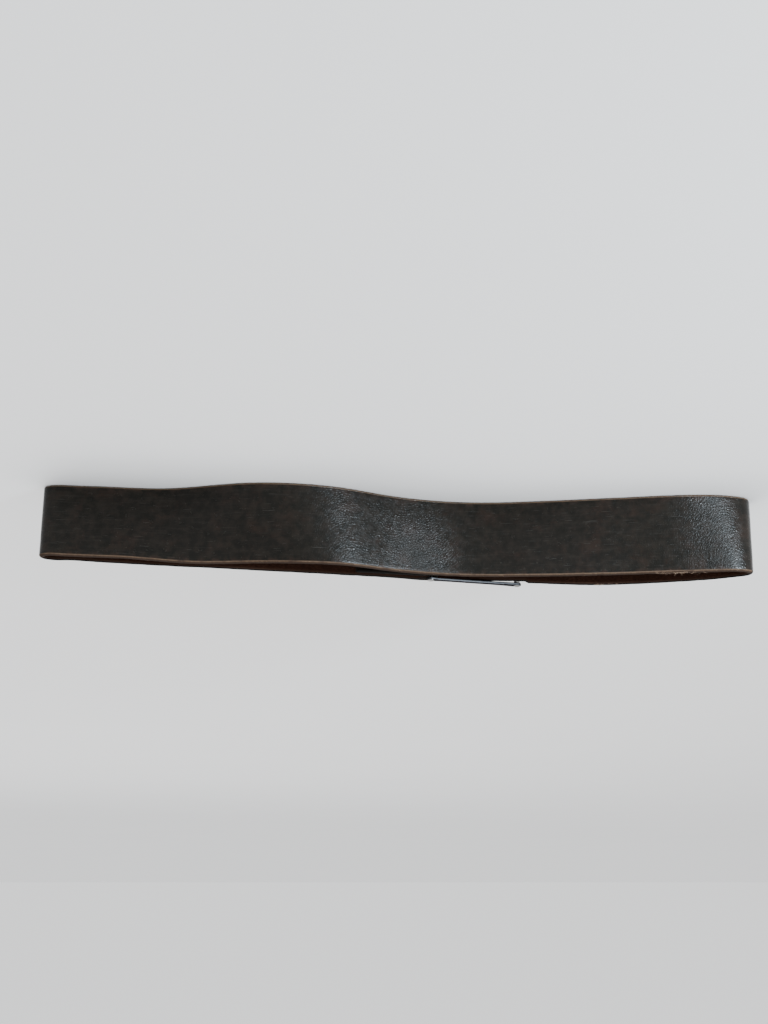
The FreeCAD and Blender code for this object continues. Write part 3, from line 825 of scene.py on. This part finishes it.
# ------------------------------------------------------------------ frayed edge
def build_fibres(material):
    """Loose tan fibres lifting from the top edge: two tufts on the open run, two on the slack run."""
    local = np.random.default_rng(11)
    open_part = (ENDS["run"] + 30, ENDS["open"])
    slack_part = (ENDS["open"] + 40, ENDS["slack"])
    # (plan x, spread, number of fibres, reach across the edge, part of the strap)
    tufts = [(-157.0, 4.5, 60, 1.0, open_part), (-146.0, 2.0, 12, 1.0, open_part),
             (-115.0, 2.0, 22, -1.3, slack_part), (-122.0, 3.0, 10, -1.3, slack_part)]
    vertices, faces = [], []
    steps, around = 6, 5
    for middle, spread, count, lean, part in tufts:
        for _ in range(count):
            mark = mark_at(middle + local.normal(0, spread), *part)
            place, side = TOP.at(np.array([mark]))
            slide = lean * local.uniform(-0.2, 1.0)
            root = np.array([*(place[0] + side[0] * slide - np.array(CENTRE)), WIDTH - 0.45])
            heading = np.array([local.normal(0, 0.9), local.normal(0, 0.5) - 0.2, 0.35])
            heading /= np.linalg.norm(heading)
            length, sag = local.uniform(0.9, 3.2), local.uniform(0.1, 0.7)
            radius = local.uniform(0.06, 0.13)
            base = len(vertices)
            for i in range(steps + 1):
                t = i / steps
                point = root + heading * length * t - np.array([0, 0, sag * t * t])
                for j in range(around):
                    turn = 2 * math.pi * j / around
                    swing = np.array([0, math.cos(turn), math.sin(turn)]) * radius * (1 - 0.7 * t)
                    vertices.append(Vector(point + swing) * MM)
            for i in range(steps):
                for j in range(around):
                    a, k = base + i * around, (j + 1) % around
                    faces.append((a + j, a + k, a + around + k, a + around + j))
            faces.append(tuple(base + j for j in range(around))[::-1])
            faces.append(tuple(base + steps * around + j for j in range(around)))
    obj = make_object("edge_fibres", vertices, faces, material)
    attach(obj, "strap_body")


# ------------------------------------------------------------------ stage
def build_floor():
    mesh = bpy.data.meshes.new("floor")
    reach = 80.0
    mesh.from_pydata([(-reach, -reach, 0), (reach, -reach, 0), (reach, reach, 0), (-reach, reach, 0)],
                     [], [(0, 1, 2, 3)])
    obj = link_object("floor", mesh)
    n = Nodes("floor_paper")
    tone = n.noise(n.add("ShaderNodeTexCoord").outputs["Object"], 3.0, 2.0)
    n.put(n.shader.inputs["Base Color"], n.mix(tone, (0.90, 0.90, 0.90), (0.93, 0.93, 0.93)))
    n.shader.inputs["Roughness"].default_value = 0.9
    n.shader.inputs["Specular IOR Level"].default_value = 0.1
    mesh.materials.append(n.material)


def area_light(name, place, target, size, power, colour=(1, 1, 1)):
    light = bpy.data.lights.new(name, "AREA")
    light.shape = "RECTANGLE"
    light.size, light.size_y = size
    light.energy = power
    light.color = colour
    obj = link_object(name, light)
    obj.location = place
    obj.rotation_euler = (Vector(target) - Vector(place)).to_track_quat("-Z", "Y").to_euler()


def build_lights():
    world = bpy.data.worlds.new("studio")
    world.use_nodes = True
    background = world.node_tree.nodes["Background"]
    background.inputs["Color"].default_value = (0.98, 0.99, 1.0, 1.0)
    background.inputs["Strength"].default_value = 1.25
    bpy.context.scene.world = world
    area_light("overhead", place=(0.1, 0.1, 1.2), target=(0, 0, 0), size=(1.6, 1.0), power=3.0)
    area_light("low_side", place=(-0.58, -0.66, 0.05), target=(-0.12, 0, 0.02), size=(0.12, 0.08),
               power=27.0, colour=(0.78, 0.90, 1.0))
    area_light("rear_side", place=(0.9, 1.5, 1.7), target=(0, 0, 0.02), size=(1.4, 1.0), power=14.0)


def build_camera():
    """The near face from a little above, rolled half a turn so that its floor edge is at the top."""
    data = bpy.data.cameras.new("camera")
    data.sensor_width = 36.0
    data.lens = 40.43
    obj = link_object("camera", data)
    stand = Matrix.Translation((0.0107, -0.62804, 0.213))
    tilt = Matrix.Rotation(math.radians(72), 4, "X")
    half_turn = Matrix.Rotation(math.pi, 4, "Z")
    obj.matrix_world = stand @ tilt @ half_turn
    bpy.context.scene.camera = obj


def build_scene():
    leather = leather_material()
    gunmetal = metal_material("buckle_metal", dark=(0.026, 0.026, 0.028), light=(0.055, 0.055, 0.058),
                              tarnish=(0.02, 0.019, 0.018), rough=0.52, glance=(0.05, 0.05, 0.052))
    nickel = metal_material("bar_metal", dark=(0.19, 0.187, 0.18), light=(0.34, 0.333, 0.322),
                            tarnish=(0.12, 0.11, 0.10), rough=0.22)
    screw = metal_material("screw_metal", dark=(0.20, 0.195, 0.19), light=(0.34, 0.33, 0.32),
                           tarnish=(0.07, 0.065, 0.06), rough=0.3)
    build_strap(leather)
    build_fibres(fibre_material())
    build_rail("rail_lower", FRAME_LOW, gunmetal)
    build_rail("rail_upper", FRAME_LOW + FRAME_TALL - RAIL_THICK, gunmetal)
    build_bar("heel_bar", HEEL_RADIUS, tenon=1.48, head=2.0, shoulder=0.0, along=0.0, material=nickel)
    build_bar("front_bar", FRONT_RADIUS, tenon=1.1, head=1.9, shoulder=RAIL_THICK, along=RAIL_SPAN,
              material=nickel)
    build_prong(nickel)
    for label, level in (("lower", -1), ("upper", 1)):
        build_screw("screw_post_" + label, level, True, screw)
        build_screw("screw_cap_" + label, level, False, screw)
    build_floor()
    build_lights()
    build_camera()


build_scene()
